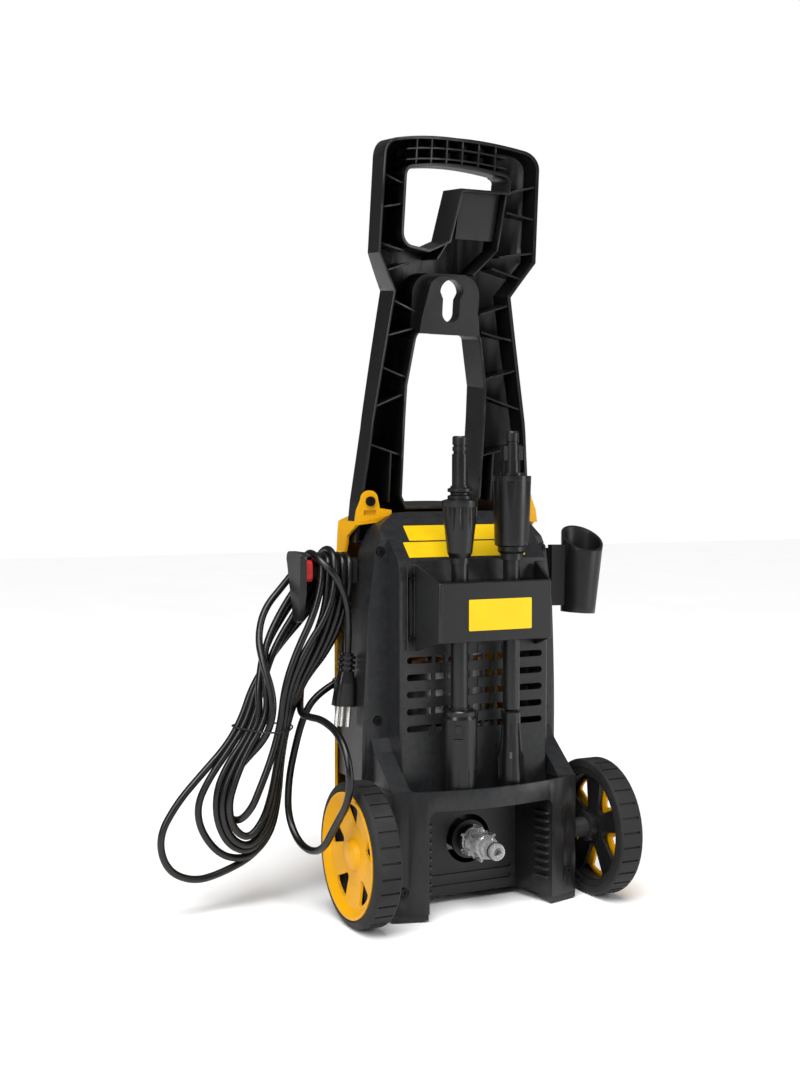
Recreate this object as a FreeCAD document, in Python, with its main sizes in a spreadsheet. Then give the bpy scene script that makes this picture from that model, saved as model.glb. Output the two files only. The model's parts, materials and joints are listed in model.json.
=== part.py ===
import FreeCAD, Part
import Sketcher
import math
import os
import re

# Compact upright pressure washer on two wheels, with its lances, cord and drive train.
#
# Frame: millimetres, +Z up, origin on the floor under the middle of the machine.  -Y is the
# accessory side (lances, water inlet), +Y is the rounded front with the switch, +X is the gun
# holster's side and -X the cord hook's side.

Vec = FreeCAD.Vector
Rot = FreeCAD.Rotation
Place = FreeCAD.Placement

doc = FreeCAD.newDocument("pressure_washer")
sheet = doc.addObject("Spreadsheet::Sheet", "Dimensions")

DIMENSIONS = {
    # wheels and axles
    "wheel_radius": 70, "wheel_width": 27.5, "wheel_outer": 148, "axle_back": -57,
    "axle_radius": 6, "running_gap": 0.05, "tyre_inner": 61,
    "tread_grooves": 30, "wheel_windows": 5,
    # base moulding
    "base_half": 104, "base_back": -87, "base_height": 128, "base_deck": 75, "base_wall": 3.5,
    "base_floor": 11, "recess_back": -27, "recess_top": 108.6, "tray_floor": 112,
    "port_height": 64, "port_radius": 25,
    # case
    "panel_back": -43, "panel_half": 84, "case_half": 112, "case_wall": 3, "parting": 48,
    "cover_half": 117, "front": 117, "case_top": 397,
    "slot_height": 6.6, "slot_half": 77,
    # handle
    "handle_lean": 6.3, "handle_back": 22.4, "handle_foot": 405, "handle_wall": 3,
    "rib_width": 1.8, "near_bow": 19, "far_bow": 60,
    # lances
    "lance_back": -62, "turbo_side": -28.5, "fan_side": 30, "lance_seat": 112.4,
    # drive
    "motor_front": 38, "motor_foot": 158, "pump_foot": 46, "stator_radius": 52, "shaft_radius": 5,
    # inlet, outlet and switch
    "nipple_radius": 8.5, "outlet_radius": 11, "knob_height": 300, "outlet_height": 62,
    # cord
    "cord_radius": 3.65, "arm_height": 338, "arm_back": 30, "gland_height": 222,
}
for line, (alias, value) in enumerate(DIMENSIONS.items(), start=1):
    sheet.set("A%d" % line, alias)
    sheet.set("B%d" % line, str(value))
    sheet.setAlias("B%d" % line, alias)
doc.recompute()

PLANES = {
    "XY": (Rot(), Vec(0, 0, 1), "XY_Plane"),
    "XZ": (Rot(Vec(1, 0, 0), 90), Vec(0, 1, 0), "XZ_Plane"),
    "YZ": (Rot(Vec(1, 1, 1), 120), Vec(1, 0, 0), "YZ_Plane"),
}
TO_LEFT = Rot(Vec(0, 1, 0), -90)    # turns a part's own +Z towards -X
TO_RIGHT = Rot(Vec(0, 1, 0), 90)    # turns a part's own +Z towards +X
TO_BACK = Rot(Vec(1, 0, 0), 90)     # turns a part's own +Z towards -Y
TO_FRONT = Rot(Vec(1, 0, 0), -90)   # turns a part's own +Z towards +Y

nodes = {}


def dim(alias):
    """The number that the sheet holds under a name."""
    return float(sheet.get(alias))


def bind(target, prop, value):
    """Set a property to a number, or bind it to a formula over the sheet's names."""
    if isinstance(value, str):
        formula = re.sub(r"[a-z]+(_[a-z]+)*", lambda m: "Dimensions." + m.group(0), value)
        target.setExpression(prop, formula)
    else:
        setattr(target, prop, value)


def keep(label, thing):
    """Register a finished sub-part under its node name."""
    thing.Label = label
    nodes[label] = thing
    return thing


def draw(sketch, path):
    """Draw closed outlines.  A path is a list of points, where ("arc", mid, end) bends the edge.

    ("circle", centre, radius) draws a circle, whose radius may be a formula.
    """
    if path[0] == "circle":
        index = sketch.addGeometry(Part.Circle(Vec(path[1][0], path[1][1], 0), Vec(0, 0, 1), 1.0))
        number = sketch.addConstraint(Sketcher.Constraint("Radius", index, 5.0))
        if isinstance(path[2], str):
            bind(sketch, "Constraints[%d]" % number, path[2])
        else:
            sketch.setDatum(number, FreeCAD.Units.Quantity("%f mm" % path[2]))
        return
    ends = []
    current = Vec(path[0][0], path[0][1], 0)
    for step in list(path[1:]) + [path[0]]:
        bent = step[0] == "arc"
        target = Vec(step[2][0], step[2][1], 0) if bent else Vec(step[0], step[1], 0)
        if current.distanceToPoint(target) < 1e-6:
            continue
        if bent:
            curve = Part.Arc(current, Vec(step[1][0], step[1][1], 0), target)
        else:
            curve = Part.LineSegment(current, target)
        ends.append((sketch.addGeometry(curve), current, target))
        current = target
    for (first, _start, meet), (second, _meet, _end) in zip(ends, ends[1:] + ends[:1]):
        sides = [1 if sketch.getPoint(geo, 1).distanceToPoint(meet) < 1e-4 else 2
                 for geo in (first, second)]
        sketch.addConstraint(Sketcher.Constraint("Coincident", first, sides[0], second, sides[1]))


def mirrored(half):
    """Close an outline that is given from the bottom centre up its right side."""
    left = []
    points = list(half)
    for index in range(len(points) - 1, -1, -1):
        step = points[index]
        if step[0] == "arc":
            before = points[index - 1]
            before = before[2] if before[0] == "arc" else before
            left.append(("arc", (-step[1][0], step[1][1]), (-before[0], before[1])))
        else:
            after = points[index + 1] if index + 1 < len(points) else None
            if after is None or after[0] != "arc":
                left.append((-step[0], step[1]))
    return points + left


def heading(start, step, at_end):
    """Direction of an edge of an outline, at its start or at its end."""
    if step[0] != "arc":
        return (Vec(step[0], step[1], 0) - start).normalize()
    curve = Part.Arc(start, Vec(step[1][0], step[1][1], 0), Vec(step[2][0], step[2][1], 0))
    return curve.tangent(curve.LastParameter if at_end else curve.FirstParameter)[0]


def inset(path, amount):
    """The same outline moved inwards by an amount, or outwards where it is negative."""
    steps = list(path[1:]) + [path[0]]
    ends = [Vec(*(step[2] if step[0] == "arc" else step), 0) for step in steps]
    starts = ends[-1:] + ends[:-1]
    kept = [k for k in range(len(steps)) if starts[k].distanceToPoint(ends[k]) > 1e-6]
    area = sum(a.x * b.y - b.x * a.y for a, b in zip(starts, ends))
    amount = amount if area > 0 else -amount
    moved = []
    for k, after in zip(kept, kept[1:] + kept[:1]):
        into = heading(starts[k], steps[k], True)
        out = heading(starts[after], steps[after], False)
        corner = ends[k] + Vec(-into.y - out.y, into.x + out.x, 0) * (amount / (1 + into.dot(out)))
        if steps[k][0] == "arc":
            middle = Vec(*steps[k][1], 0)
            across = (ends[k] - starts[k]).normalize()
            bent = middle + Vec(-across.y, across.x, 0) * amount
            moved.append(("arc", (bent.x, bent.y), (corner.x, corner.y)))
        else:
            moved.append((corner.x, corner.y))
    last = moved[-1]
    return [last[2] if last[0] == "arc" else last] + moved


# ---------------------------------------------------------------- features on Part's side
def prism(name, plane, path, start, end):
    """An outline on a plane, drawn out along the plane's world axis from start to end."""
    rotation, axis, _role = PLANES[plane]
    sketch = doc.addObject("Sketcher::SketchObject", name + "_outline")
    sketch.Placement = Place(Vec(), rotation)
    draw(sketch, path)
    solid = doc.addObject("Part::Extrusion", name)
    solid.Base = sketch
    solid.DirMode = "Custom"
    solid.Dir = axis
    solid.Solid = True
    solid.FaceMakerClass = "Part::FaceMakerBullseye"
    bind(solid, "LengthFwd", "(%s) - (%s)" % (end, start) if isinstance(end, str) or
         isinstance(start, str) else float(end - start))
    letter = {"XY": "z", "XZ": "y", "YZ": "x"}[plane]
    if isinstance(start, str):
        bind(sketch, "Placement.Base." + letter, start)
    else:
        sketch.Placement = Place(axis * float(start), rotation)
    return solid


def box(name, low, high):
    """A block between two corners."""
    block = doc.addObject("Part::Box", name)
    block.Length, block.Width, block.Height = [b - a for a, b in zip(low, high)]
    block.Placement = Place(Vec(*low), Rot())
    return block


def rod(name, base, rotation, radius, length):
    """A cylinder from a base point, along its own +Z turned by the rotation."""
    body = doc.addObject("Part::Cylinder", name)
    bind(body, "Radius", radius)
    bind(body, "Height", length)
    body.Placement = Place(Vec(*base), rotation)
    return body


def fuse(name, things):
    if len(things) == 1:
        return things[0]
    joined = doc.addObject("Part::MultiFuse", name)
    joined.Shapes = things
    joined.Refine = True
    return joined


def cut(name, base, tools):
    result = doc.addObject("Part::Cut", name)
    result.Base = base
    result.Tool = fuse(name + "_tools", tools)
    result.Refine = True
    return result


def common(name, things):
    result = doc.addObject("Part::MultiCommon", name)
    result.Shapes = things
    return result


# ---------------------------------------------------------------- features on PartDesign's side
def new_body(label, base=(0, 0, 0), rotation=Rot()):
    body = doc.addObject("PartDesign::Body", label)
    body.Placement = Place(Vec(*base), rotation)
    return keep(label, body)


def origin_part(body, role):
    return next(part for part in body.Origin.OriginFeatures if part.Role == role)


def body_sketch(body, plane, path, lift=0.0):
    sketch = body.newObject("Sketcher::SketchObject", body.Label + "_sketch")
    sketch.AttachmentSupport = (origin_part(body, PLANES[plane][2]), [""])
    sketch.MapMode = "FlatFace"
    sketch.AttachmentOffset = Place(Vec(0, 0, lift), Rot())
    draw(sketch, path)
    return sketch


def pad(body, plane, path, length, lift=0.0, both=False, back=False):
    feature = body.newObject("PartDesign::Pad", body.Label + "_pad")
    feature.Profile = body_sketch(body, plane, path, lift)
    bind(feature, "Length", length)
    feature.Midplane = both
    feature.Reversed = back
    doc.recompute()
    return feature


def pocket(body, plane, path, length, lift=0.0, both=False, back=False):
    """Cut an outline out of the body, and make sure that it did cut."""
    before = body.Shape.Volume
    feature = body.newObject("PartDesign::Pocket", body.Label + "_pocket")
    feature.Profile = body_sketch(body, plane, path, lift)
    bind(feature, "Length", length)
    feature.Midplane = both
    feature.Reversed = back
    doc.recompute()
    if body.Shape.Volume > before - 1e-3:
        raise ValueError("a pocket of %s cuts nothing" % body.Label)
    return feature


def turn(body, path):
    """Revolve an outline of (radius, height) points about the body's own Z axis."""
    feature = body.newObject("PartDesign::Revolution", body.Label + "_turned")
    sketch = body_sketch(body, "XZ", path)
    feature.Profile = sketch
    feature.ReferenceAxis = (sketch, ["V_Axis"])
    feature.Angle = 360.0
    doc.recompute()
    return feature


def around(body, feature, count):
    """Repeat a feature evenly around the body's own Z axis."""
    pattern = body.newObject("PartDesign::PolarPattern", body.Label + "_pattern")
    pattern.Originals = [feature]
    pattern.Axis = (origin_part(body, "Z_Axis"), [""])
    pattern.Angle = 360.0
    bind(pattern, "Occurrences", count)
    body.Tip = pattern
    doc.recompute()
    return pattern


def turned(label, path, base=(0, 0, 0), rotation=Rot()):
    body = new_body(label, base, rotation)
    turn(body, path)
    return body


def rectangle(x0, y0, x1, y1):
    return [(x0, y0), (x1, y0), (x1, y1), (x0, y1)]


def slot(x0, x1, middle, height):
    """A level slot with round ends."""
    half = height / 2.0
    return [(x0 + half, middle - half), (x1 - half, middle - half),
            ("arc", (x1, middle), (x1 - half, middle + half)), (x0 + half, middle + half),
            ("arc", (x0, middle), (x0 + half, middle - half))]


def round_rectangle(x0, y0, x1, y1, radius):
    bend = radius * (1 - math.sqrt(0.5))
    return [(x0 + radius, y0), (x1 - radius, y0),
            ("arc", (x1 - bend, y0 + bend), (x1, y0 + radius)), (x1, y1 - radius),
            ("arc", (x1 - bend, y1 - bend), (x1 - radius, y1)), (x0 + radius, y1),
            ("arc", (x0 + bend, y1 - bend), (x0, y1 - radius)), (x0, y0 + radius),
            ("arc", (x0 + bend, y0 + bend), (x0 + radius, y0))]


# ================================================================ base moulding
def base_plan(inset):
    """Plan of the base: a bowed back wall, straight sides and a round front."""
    half = dim("base_half") - inset
    back = dim("base_back") + inset
    front = dim("front") - 3 - inset
    return [(-half, back + 21), ("arc", (0, back), (half, back + 21)), (half, 50),
            ("arc", (0, front), (-half, 50))]


def make_base():
    half = dim("base_half")
    wall = dim("base_wall")
    height = dim("base_height")
    deck = dim("base_deck")
    parting = dim("parting")
    block = prism("base_block", "XY", base_plan(0), "base_floor - 3", "base_height")
    legs = []
    for side in (-1, 1):
        inner, outer = sorted((side * 69.0, side * half))
        legs.append(prism("base_leg", "XY", [(inner, -66 if side < 0 else -75.5),
                          (outer, -75.5 if side < 0 else -66), (outer, -20), (inner, -20)], 1.5, 12))
    solid = fuse("base_solid", [block] + legs)
    ceiling = dim("recess_top")
    recess_plan = [(-73.9, -95), (73.9, -95), (55, dim("recess_back")), (-55, dim("recess_back"))]
    recess_view = [(-80, -2), (80, -2), (80, ceiling - 7), (68.6, ceiling - 7),
                   ("arc", (66.55, ceiling - 2.05), (61.6, ceiling)), (-61.6, ceiling),
                   ("arc", (-66.55, ceiling - 2.05), (-68.6, ceiling - 7)), (-80, ceiling - 7)]
    recess = common("base_recess", [prism("recess_plan", "XY", recess_plan, -1, ceiling),
                                    prism("recess_view", "XZ", recess_view, -100, 0)])
    tray = prism("base_tray", "XY", [(-82, -70.5), ("arc", (0, dim("base_back") + wall), (82, -70.5)),
                 (82, dim("panel_back")), (-82, dim("panel_back"))], "tray_floor", 140)
    tub = cut("base_tub", prism("base_inside", "XY", base_plan(wall), "base_floor", 140),
              [box("tub_back", (-120, -100, -5), (120, dim("recess_back") + wall, 145))])
    step = box("front_step", (-120, parting, deck), (120, 140, 150))
    leg_wells = [box("leg_well", (min(side * 73, side * 97), -66.3, -1),
                     (max(side * 73, side * 97), -27.5, 104)) for side in (-1, 1)]
    port = rod("port_hole", (0, -60, dim("port_height")), TO_FRONT, "port_radius", 60)
    grooves = [prism("low_groove", "XZ", slot(-50, 50, level, 5.5), dim("recess_back") - 5,
                     dim("recess_back") + 1.6) for level in (21, 32)]
    axles = [rod("axle_bore", (side * 80, dim("axle_back"), dim("wheel_radius")),
                 TO_RIGHT if side > 0 else TO_LEFT, "axle_radius + running_gap", 60)
             for side in (-1, 1)]
    screws = [rod("leg_screw_hole", (side * 93, -90, 31), TO_FRONT, radius, length)
              for side in (-1, 1) for radius, length in ((4.2, 21.1), (2.2, 30))]
    feet = [rod("foot_hole", (side * 62, 82, 5), Rot(), 4.02, 12) for side in (-1, 1)]
    outlet = rod("outlet_hole", (34, 90, dim("outlet_height")), TO_FRONT, 17, 60)
    ribs = []
    for side in (-1, 1):
        for count in range(9):
            level = 26 + 8.2 * count
            ribs.append(prism("recess_rib", "XY",
                              [(side * 68.6, -74), (side * 64.2, -73), (side * 60.2, -58),
                               (side * 64.4, -56)], level, level + 2.4))
    shell = cut("base_shell", solid, [recess, tray, tub, step, port] + leg_wells + grooves + axles
                + screws + feet + [outlet])
    pedestal = rod("pump_pedestal", (0, dim("motor_front"), dim("base_floor") - 1), Rot(), 24,
                   dim("pump_foot") - dim("base_floor") + 0.8)
    keep("base", fuse("base_with_ribs", [shell, pedestal] + ribs))


# ================================================================ case
def case_front_view(grow, top):
    """Width of the case over its height, seen from behind."""
    half = dim("case_half") + grow
    return mirrored([(half, 100), (half - 1, 190), (half - 6, 300), (half - 14, 358),
                     (half - 25, 384 + grow), (half - 46, top - 1 + grow), (0, top + 3 + grow)])


def case_side_view(inset, parting_shift, low):
    """Back of the case seen from the side, closed along the parting line."""
    back = dim("panel_back") + inset
    top = dim("case_top") - inset
    line = dim("parting") + parting_shift
    return [(back, low), (back, 330 - inset * 0.3), (back + 6, 350 - inset), (6 + inset * 0.4, top - 6),
            (14.4 + parting_shift * 0.5, top), (16 + parting_shift, 386),
            (38 + parting_shift, 372), (line - 4, 320),
            (line, 250), (line, low)]


def rear_plan(inset):
    half = dim("case_half") - inset
    panel = dim("panel_half") - inset
    back = dim("panel_back") + inset
    step = -15 + inset
    return [(-panel + 3, back), (panel - 3, back), ("arc", (panel - 0.9, back + 0.9), (panel, back + 3)),
            (panel, step), (half - 6, step), ("arc", (half - 1.8, step + 1.8), (half, step + 6)),
            (half, 90), (-half, 90), (-half, step + 6),
            ("arc", (-half + 1.8, step + 1.8), (-half + 6, step)), (-panel, step),
            (-panel, back + 3), ("arc", (-panel + 0.9, back + 0.9), (-panel + 3, back))]


SLOT_LEVELS = (252, 235, 218, 201, 184)


def make_rear_cover():
    wall = dim("case_wall")
    low = dim("base_height")
    outer = common("rear_outer", [prism("rear_plan", "XY", rear_plan(0), "base_height", 420),
                   prism("rear_side", "YZ", case_side_view(0, 0, low), -130, 130),
                   prism("rear_width", "XZ", case_front_view(0, dim("case_top")), -60, 100)])
    inner = common("rear_inner", [prism("rear_plan_in", "XY", rear_plan(wall), 100, 420),
                   prism("rear_side_in", "YZ", case_side_view(wall, 40, 100), -130, 130),
                   prism("rear_width_in", "XZ", case_front_view(-wall, dim("case_top")), -60, 130)])
    back = dim("panel_back")
    slots = [prism("louvre", "XZ", slot(-dim("slot_half"), dim("slot_half"), level,
                   dim("slot_height")), back - 3, back + wall + 2) for level in SLOT_LEVELS]
    bars = []
    for index, side in enumerate((-47, -33, -19, -5, 9, 23, 37, 47)):
        bars.append(box("louvre_bar", (side - 2, back + 0.6, 172), (side + 2, back + wall, 262)))
        for row, level in enumerate(SLOT_LEVELS):
            if (row + index) % 2 == 0 and abs(side) < 45:
                bars.append(box("louvre_block", (side - 7, back - 1.0, level + 3.6),
                                (side + 6, back + 0.7, level + 13)))
    gussets = []
    for side in (-1, 1):
        x0, x1 = sorted((side * 84, side * 103.5))
        gussets.append(prism("gusset", "YZ", [(-65, low), (-15, low), (-15, 172), (-24, 160)], x0, x1))
    openings = [rod("gland_hole", (-100, 36, dim("gland_height")), TO_LEFT, 6.9, 30), grown_handle()]
    for side in (-1, 1):
        for across, level in ((93, 359), (96, 190)):
            openings += [rod("screw_seat", (side * across, -30, level), TO_FRONT, 5, 16.5),
                         rod("screw_hole", (side * across, -30, level), TO_FRONT, 2.2, 30)]
    shell = cut("rear_shell", outer, [inner] + slots)
    shelves = [box("choke_shelf", (75, -9, 170), (110, 8, 175.7)),
               box("capacitor_shelf", (-110, -4, 166), (-60, 28, 169.7))]
    shell = fuse("rear_shell_bars", [shell] + bars + gussets + shelves)
    keep("rear_cover", cut("rear_cover_shape", shell, openings))


def cover_plan(inset):
    half = dim("cover_half") - inset
    front = dim("front") - inset
    return [(-half, 10), (half, 10), (half, 46), ("arc", (0, front), (-half, 46))]


def front_side_view(inset, low, shift):
    """Front cover seen from the side: parting line at the back, nose at the front."""
    line = dim("parting") + 0.3 + shift
    top = dim("case_top") - inset
    front = dim("front") - inset
    return [(line, low), (line, 250), (line - 4, 320), (38.3 + shift, 372), (16.3 + shift, 386),
            (14.7 + shift, top), (60, top - 3), (92, 392 - inset), (front - 9, 368 - inset),
            (front, 335), (front, low)]


def cover_front_view(grow, top):
    half = dim("cover_half") + grow
    return mirrored([(half, 60), (half, 346), (half - 9, 357), (half - 11.5, 378),
                     (half - 13.5, 387 + grow), (half - 48, top - 3 + grow), (0, top + grow)])


def make_front_cover():
    wall = dim("case_wall")
    low = dim("base_deck")
    top = dim("case_top")
    outer = common("front_outer", [prism("front_plan", "XY", cover_plan(0), "base_deck", 420),
                   prism("front_side", "YZ", front_side_view(0, low, 0), -130, 130),
                   prism("front_width", "XZ", cover_front_view(0, top), 0, 140)])
    inner = common("front_inner", [prism("front_plan_in", "XY", cover_plan(wall), 50, 420),
                   prism("front_side_in", "YZ", front_side_view(wall, 50, -30), -130, 130),
                   prism("front_width_in", "XZ", cover_front_view(-wall, top), 0, 140)])
    lugs = []
    for side in (-1, 1):
        hump = [(side * 66, 388), (side * 66, 399), (side * 79, 401), (side * 81, 410),
                ("arc", (side * 90, 419), (side * 99, 410)), (side * 104, 398), (side * 106, 384)]
        lugs.append(prism("lug", "XZ", hump, 16.2, 20.8))
    leg_room = grown_handle()
    knob_centre = (0, dim("knob_height"))
    seat = common("dial_seat", [outer, prism("dial_cup", "XZ", ("circle", knob_centre, 33.5), 104.5, 140)])
    seat_room = prism("dial_room", "XZ", ("circle", knob_centre, 31.0), 108, 140)
    spindle_hole = rod("spindle_hole", (0, 100, dim("knob_height")), TO_FRONT, 4.2, 40)
    vents = [prism("front_vent", "XZ", slot(-46 + 2.5 * row, 46 - 2.5 * row, 236 - 12 * row, 5.2),
                   95, 140) for row in range(6)]
    outlet = rod("outlet_gap", (34, 90, dim("outlet_height")), TO_FRONT, 17, 60)
    lug_holes = [rod("lug_hole", (side * 90, 5, 408), TO_FRONT, 3.2, 30) for side in (-1, 1)]
    lug_holes += [box("lug_pocket", (side * 90 - 7, 10, 394), (side * 90 + 7, 18.5, 399))
                  for side in (-1, 1)]
    shell = cut("front_shell", outer, [inner, leg_room, outlet] + vents)
    shell = cut("front_shell_dial", fuse("front_shell_lugs", [shell, seat] + lugs),
                [seat_room, spindle_hole])
    keep("front_cover", cut("front_cover_shape", shell, lug_holes))


# ================================================================ handle
def handle_outline():
    return mirrored([(0, -40), (101, -40), (98.8, 0), (88.7, 85.5), (67.4, 215.3), (90, 251.7),
                     (88.3, 346), ("arc", (83.6, 358.5), (71, 365.5)), ("arc", (36, 371), (0, 372.3))])


def opening_outline():
    return mirrored([(0, -5), (38, -5), (44.7, 6), (45.1, 86), (44.6, 120), (36.5, 168),
                     ("arc", (34.6, 172.2), (30, 173.5)), (0, 173.5)])


def window_outline():
    return [(-57.5, 330), ("arc", (-55, 336), (-49, 338.5)), ("arc", (2, 343.5), (53, 338)),
            ("arc", (57, 336), (58, 331)), (58, 323), (8, 323), (-3, 270), (-26, 259.5),
            (-46, 262), ("arc", (-54.5, 266), (-58, 275))]


def handle_plan(near_shift, far_shift):
    """Plan of the bowed band that the handle is cut from, in the handle's own frame."""
    near = dim("near_bow")
    far = dim("far_bow") + far_shift
    return [(-108, near_shift), (-90, near_shift), ("arc", (0, near + near_shift), (90, near_shift)),
            (108, near_shift), (108, 24 + far_shift), (90, 27 + far_shift),
            ("arc", (0, far), (-90, 27 + far_shift)), (-108, 24 + far_shift)]


def handle_place():
    return Place(Vec(0, dim("handle_back"), dim("handle_foot")), Rot(Vec(1, 0, 0), dim("handle_lean")))


def grown_handle():
    """The legs' space in the front cover: the handle's lower end, half a millimetre larger."""
    leg = common("leg_space", [
        cut("leg_space_view", prism("leg_space_out", "XZ", mirrored(
            [(0, -60), (103, -60), (99.5, 0), (95, 40), (0, 40)]), -20, 90),
            [prism("leg_space_gap", "XZ", mirrored([(0, -4.5), (37.6, -4.5), (44.1, 6), (44.1, 41),
                                                    (0, 41)]), -25, 95)]),
        prism("leg_space_plan", "XY", handle_plan(-0.6, 0.6), -60, 45)])
    leg.Placement = handle_place()
    return leg


def rib(name, start, end, depth=(14, 58)):
    """A thin upright web between two points of the handle's front view."""
    (x0, s0), (x1, s1) = start, end
    length = math.hypot(x1 - x0, s1 - s0)
    half = dim("rib_width") / 2
    across = (-(s1 - s0) / length * half, (x1 - x0) / length * half)
    return prism(name, "XZ", [(x0 + across[0], s0 + across[1]), (x1 + across[0], s1 + across[1]),
                 (x1 - across[0], s1 - across[1]), (x0 - across[0], s0 - across[1])], *depth)


LEG_RIBS = (((70, 208), (38, 196)), ((74, 170), (40, 178)), ((80, 140), (44, 128)),
            ((85.5, 98), (45, 112)), ((92, 62), (46, 48)), ((60, 52), (60, 0)),
            ((89, 262), (55, 256)), ((89, 296), (60, 302)), ((89, 330), (60, 322)),
            ((80, 234), (48, 244)))
HOOK_RECESS = [(-36, 181), (36, 181), (36, 214), ("arc", (31, 227), (20, 233)), (-20, 233),
               ("arc", (-31, 227), (-36, 214))]


def make_handle():
    view = cut("handle_view", prism("handle_out", "XZ", handle_outline(), -10, 80),
               [prism("handle_gap", "XZ", opening_outline(), -15, 85),
                prism("handle_window", "XZ", window_outline(), -15, 85)])
    whole = common("handle_whole", [view, prism("handle_band", "XY", handle_plan(0, 0), -60, 400)])
    wall = dim("handle_wall")
    solid = cut("handle_solid", whole, [prism("hook_recess", "XZ", HOOK_RECESS, 28, 85)])
    hollow_view = cut("hollow_view", prism("hollow_out", "XZ", inset(handle_outline(), wall), -10, 80),
                      [prism("hollow_gap", "XZ", inset(opening_outline(), -wall), -15, 85),
                       prism("hollow_window", "XZ", inset(window_outline(), -wall), -15, 85)])
    hollow = cut("handle_hollow", common("handle_hollow_full", [hollow_view,
                 prism("hollow_band", "XY", handle_plan(-25, -wall), -60, 400)]),
                 [grip_back("grip_web", wall),
                  prism("recess_walls", "XZ", inset(HOOK_RECESS, -wall), 28 - wall, 90)])
    key_walls = prism("key_block", "XZ", [(-35, 174), (35, 174), (33, 190), (25, 224),
                      ("arc", (17, 231.5), (8, 233)), (-8, 233), ("arc", (-17, 231.5), (-25, 224)),
                      (-33, 190)], 12, 27)
    key_inside = prism("key_inside", "XZ", [(-32, 177), (32, 177), (30.5, 189), (22.6, 222),
                       (8, 230), (-8, 230), (-22.6, 222), (-30.5, 189)], 15, 80)
    collar = prism("key_collar", "XZ", keyhole(3.0), 12, 27)
    shell = cut("handle_shell", solid, [hollow])
    plate = cut("key_plate", key_walls, [key_inside])
    band = prism("rib_band", "XY", handle_plan(3.0, -1.0), -60, 400)
    webs = []
    for side in (-1, 1):
        for (x0, s0), (x1, s1) in LEG_RIBS:
            webs.append(rib("leg_rib", (side * x0, s0), (side * x1, s1), (0, 62)))
    for x in (-45, -27, -9, 9, 27, 45):
        webs.append(rib("grip_rib", (x, 338), (x, 371), (0, 62)))
    for lift in (350, 360.5):
        webs.append(prism("grip_rail", "XZ", [(-57, lift - 4.8), ("arc", (0, lift), (57, lift - 4.8)),
                          (57, lift - 3.2), ("arc", (0, lift + 1.6), (-57, lift - 3.2))], 0, 62))
    webs.append(rib("box_side", (59.2, 323), (52, 262), (0, 62)))
    webs.append(rib("box_slope", (52, 262), (28, 236), (0, 62)))
    webs.append(rib("box_left", (1.5, 275), (-14, 250), (0, 62)))
    ribs = common("handle_ribs", [fuse("handle_webs", webs), band,
                  prism("rib_limit", "XZ", inset(handle_outline(), 1.0), -10, 80)])
    shelf = prism("box_back", "XZ", [(6, 272), (50, 272), (56, 321), (10, 321)], 23, 26)
    trimmed = cut("ribs_in_view", ribs, [prism("rib_gap", "XZ", opening_outline(), -15, 85),
                  prism("rib_window", "XZ", window_outline(), -15, 85)])
    bosses = [rod("handle_boss", (side * 90, 0.8, 3), TO_FRONT, 5.5, 24.5) for side in (-1, 1)]
    joined = fuse("handle_joined", [shell, trimmed, shelf, plate, collar] + bosses)
    leaning = cut("handle_local", joined, [prism("keyhole_cut", "XZ", keyhole(0.0), -15, 85),
                                           grip_back("grip_relief", 0)])
    leaning.Placement = handle_place()
    pilots = [rod("handle_pilot", (side * 90, 10, 408), TO_FRONT, 2.3, 22) for side in (-1, 1)]
    keep("handle", cut("handle_drilled", leaning, pilots))


def keyhole(grow):
    """A round upper eye that narrows to a slot below."""
    eye, neck = 13.2 + grow, 9.8 + grow
    return [(-neck, 196), ("arc", (0, 196 - neck), (neck, 196)), (neck, 210), (eye, 217),
            ("arc", (0, 217 + eye), (-eye, 217)), (-neck, 210)]


def grip_back(name, shift):
    """The room behind the grip bar, which is shallower than the legs."""
    half = 54 + shift
    plan = [(-half, 42 - shift), ("arc", (0, 50 - shift), (half, 42 - shift)), (half, 80), (-half, 80)]
    return prism(name, "XY", plan, 334 - shift, 380)


# ================================================================ screws and feet
def pan_screw(name, base, rotation, head, shank, length):
    """A pan-head screw with a cross recess; its own +Z runs from the tip to the head."""
    head_disc = rod(name + "_head", (0, 0, 0), Rot(), head, 2.4)
    shaft = rod(name + "_shank", (0, 0, -length), Rot(), shank, length + 0.5)
    cross = [box(name + "_cross", (-head * 0.6, -0.6, 1.2), (head * 0.6, 0.6, 3)),
             box(name + "_cross", (-0.6, -head * 0.6, 1.2), (0.6, head * 0.6, 3))]
    screw = cut(name, fuse(name + "_blank", [head_disc, shaft]), cross)
    screw.Placement = Place(Vec(*base), rotation)
    return screw


def make_screws():
    places_by_label = {"handle_screws": [((side * 90, 16.1, 408), 5.0, 2.4, 16) for side in (-1, 1)],
                       "case_screws": []}
    for side in (-1, 1):
        places_by_label["case_screws"] += [
            ((side * 93, -13.6, 359), 4.2, 2.2, 9), ((side * 96, -13.6, 190), 4.2, 2.2, 9),
            ((side * 93, -69, 31), 3.9, 2.2, 8), ((side * 74, -45.8, 274), 3.2, 1.7, 5),
            ((side * 74, -45.8, 336), 3.2, 1.7, 5)]
    for label, places in places_by_label.items():
        group = [pan_screw(label[:-1], place, TO_BACK, head, shank, length)
                 for place, head, shank, length in places]
        keep(label, fuse(label + "_group", group))


def make_feet():
    feet = []
    for side in (-1, 1):
        pad_disc = rod("foot_pad", (side * 62, 82, 0), Rot(), 12, 8)
        plug = rod("foot_plug", (side * 62, 82, 7), Rot(), 4, 9)
        feet += [pad_disc, plug]
    keep("front_feet", fuse("feet_group", feet))


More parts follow.
